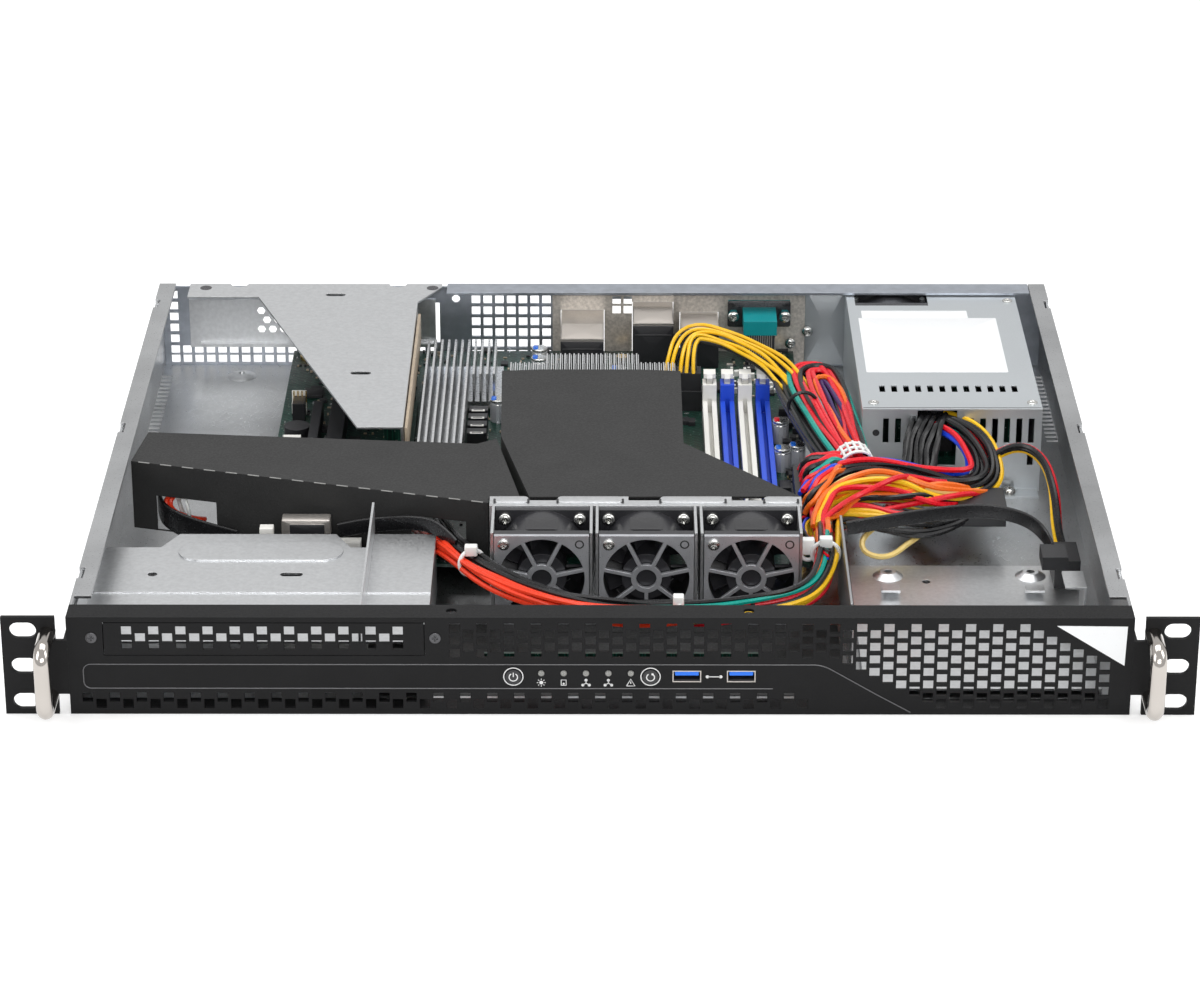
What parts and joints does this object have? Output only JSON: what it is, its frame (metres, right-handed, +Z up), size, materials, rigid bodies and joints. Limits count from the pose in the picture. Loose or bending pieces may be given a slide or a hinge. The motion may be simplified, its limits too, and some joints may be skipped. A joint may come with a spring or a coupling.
{
  "type": "1u rack server",
  "caption": "Shallow rack server with its top open: perforated front bezel, rack ears with pull handles, fans, motherboard, air ducts, power supply and wire harnesses.",
  "frame": {"origin": "middle of the lower front edge of the bezel", "axes": "+X to the right seen from the front, +Y towards the rear, +Z up"},
  "size_m": [0.4826, 0.3918, 0.0435],
  "materials": {
    "sheet_steel": "zinc-coated sheet",
    "supply_steel": "zinc-coated sheet, slightly blue",
    "black_paint": "fine textured powder coat",
    "chrome": "polished nickel plate",
    "black_plastic": "moulded, matt",
    "duct_sheet": "embossed film sheet",
    "grey_plastic": "moulded, satin",
    "white_plastic": "moulded, matt",
    "blue_plastic": "moulded, matt",
    "teal_plastic": "moulded, matt",
    "circuit_board": "solder mask",
    "aluminium_fins": "extruded",
    "port_shell": "tinned steel",
    "shield_sheet": "tinned sheet",
    "brass": "turned",
    "capacitor_can": "sleeved can",
    "lamp_plastic": "clear light guide",
    "harness_wire": "insulated wires in several colours",
    "yellow_wire": "insulated wires, yellow and black",
    "black_wire": "insulated flat and round wires"
  },
  "bodies": {
    "chassis": {"chassis_tray": "sheet_steel", "rear_panel": "sheet_steel", "front_bezel": "black_paint", "drive_bay_cover": "black_paint", "rack_ear_left": "black_paint", "rack_ear_right": "black_paint", "pull_handle_left": "chrome", "pull_handle_right": "chrome", "front_board": "circuit_board", "status_lights": "lamp_plastic", "usb_ports": "port_shell", "slim_drive_tray": "sheet_steel", "hard_drive_tray": "sheet_steel", "drive_bay_side": "sheet_steel", "fan_frames": "black_plastic", "fan_guards": "grey_plastic", "fan_bracket": "sheet_steel", "motherboard": "circuit_board", "standoffs": "brass", "memory_sockets_white": "white_plastic", "memory_sockets_blue": "blue_plastic", "cpu_heatsink": "aluminium_fins", "chipset_heatsink": "aluminium_fins", "board_connectors_black": "black_plastic", "board_connectors_white": "white_plastic", "board_capacitors": "capacitor_can", "side_air_duct": "duct_sheet", "cpu_air_duct": "duct_sheet", "riser_bracket": "sheet_steel", "riser_card": "circuit_board", "slot_cover": "sheet_steel", "io_ports": "port_shell", "serial_port": "teal_plastic", "io_shield": "shield_sheet", "psu_case": "supply_steel", "psu_fan_frame": "black_plastic", "psu_inlet": "black_plastic", "psu_circuit": "circuit_board", "main_harness": "harness_wire", "front_harness": "harness_wire", "cpu_power_cable": "yellow_wire", "bay_cable": "black_wire", "sata_cable": "black_wire", "sata_plug": "black_plastic", "drive_power_cable": "black_wire", "drive_power_plug": "black_plastic"},
    "fan_rotor_1_body": {"fan_rotor_1": "black_plastic"},
    "fan_rotor_2_body": {"fan_rotor_2": "black_plastic"},
    "fan_rotor_3_body": {"fan_rotor_3": "black_plastic"},
    "psu_fan_rotor_body": {"psu_fan_rotor": "black_plastic"},
    "power_button_body": {"power_button": "black_plastic"},
    "reset_button_body": {"reset_button": "black_plastic"},
    "memory_latch_front_1_body": {"memory_latch_front_1": "white_plastic"},
    "memory_latch_front_2_body": {"memory_latch_front_2": "white_plastic"},
    "memory_latch_front_3_body": {"memory_latch_front_3": "white_plastic"},
    "memory_latch_front_4_body": {"memory_latch_front_4": "white_plastic"},
    "memory_latch_back_1_body": {"memory_latch_back_1": "white_plastic"},
    "memory_latch_back_2_body": {"memory_latch_back_2": "white_plastic"},
    "memory_latch_back_3_body": {"memory_latch_back_3": "white_plastic"},
    "memory_latch_back_4_body": {"memory_latch_back_4": "white_plastic"}
  },
  "joints": [
    {"name": "fan_spin_1", "type": "hinge", "parent": "chassis", "child": "fan_rotor_1_body", "pos_m": [-0.0249, 0.0978, 0.0218], "axis": [0, 1, 0], "continuous": true},
    {"name": "fan_spin_2", "type": "hinge", "parent": "chassis", "child": "fan_rotor_2_body", "pos_m": [0.0194, 0.0978, 0.0218], "axis": [0, 1, 0], "continuous": true},
    {"name": "fan_spin_3", "type": "hinge", "parent": "chassis", "child": "fan_rotor_3_body", "pos_m": [0.0637, 0.0978, 0.0218], "axis": [0, 1, 0], "continuous": true},
    {"name": "psu_fan_spin", "type": "hinge", "parent": "chassis", "child": "psu_fan_rotor_body", "pos_m": [0.1395, 0.358, 0.02145], "axis": [0, 1, 0], "continuous": true},
    {"name": "power_press", "type": "slide", "parent": "chassis", "child": "power_button_body", "axis": [0, 1, 0], "range_m": [0, 0.0008], "stiffness_N_per_m": 400},
    {"name": "reset_press", "type": "slide", "parent": "chassis", "child": "reset_button_body", "axis": [0, 1, 0], "range_m": [0, 0.0008], "stiffness_N_per_m": 400},
    {"name": "latch_front_1", "type": "hinge", "parent": "chassis", "child": "memory_latch_front_1_body", "pos_m": [0.0507, 0.148, 0.013], "axis": [1, 0, 0], "range_deg": [0, 30]},
    {"name": "latch_back_1", "type": "hinge", "parent": "chassis", "child": "memory_latch_back_1_body", "pos_m": [0.0507, 0.288, 0.013], "axis": [-1, 0, 0], "range_deg": [0, 30]},
    {"name": "latch_front_2", "type": "hinge", "parent": "chassis", "child": "memory_latch_front_2_body", "pos_m": [0.059, 0.148, 0.013], "axis": [1, 0, 0], "range_deg": [0, 30]},
    {"name": "latch_back_2", "type": "hinge", "parent": "chassis", "child": "memory_latch_back_2_body", "pos_m": [0.059, 0.288, 0.013], "axis": [-1, 0, 0], "range_deg": [0, 30]},
    {"name": "latch_front_3", "type": "hinge", "parent": "chassis", "child": "memory_latch_front_3_body", "pos_m": [0.0673, 0.148, 0.013], "axis": [1, 0, 0], "range_deg": [0, 30]},
    {"name": "latch_back_3", "type": "hinge", "parent": "chassis", "child": "memory_latch_back_3_body", "pos_m": [0.0673, 0.288, 0.013], "axis": [-1, 0, 0], "range_deg": [0, 30]},
    {"name": "latch_front_4", "type": "hinge", "parent": "chassis", "child": "memory_latch_front_4_body", "pos_m": [0.0756, 0.148, 0.013], "axis": [1, 0, 0], "range_deg": [0, 30]},
    {"name": "latch_back_4", "type": "hinge", "parent": "chassis", "child": "memory_latch_back_4_body", "pos_m": [0.0756, 0.288, 0.013], "axis": [-1, 0, 0], "range_deg": [0, 30]}
  ]
}
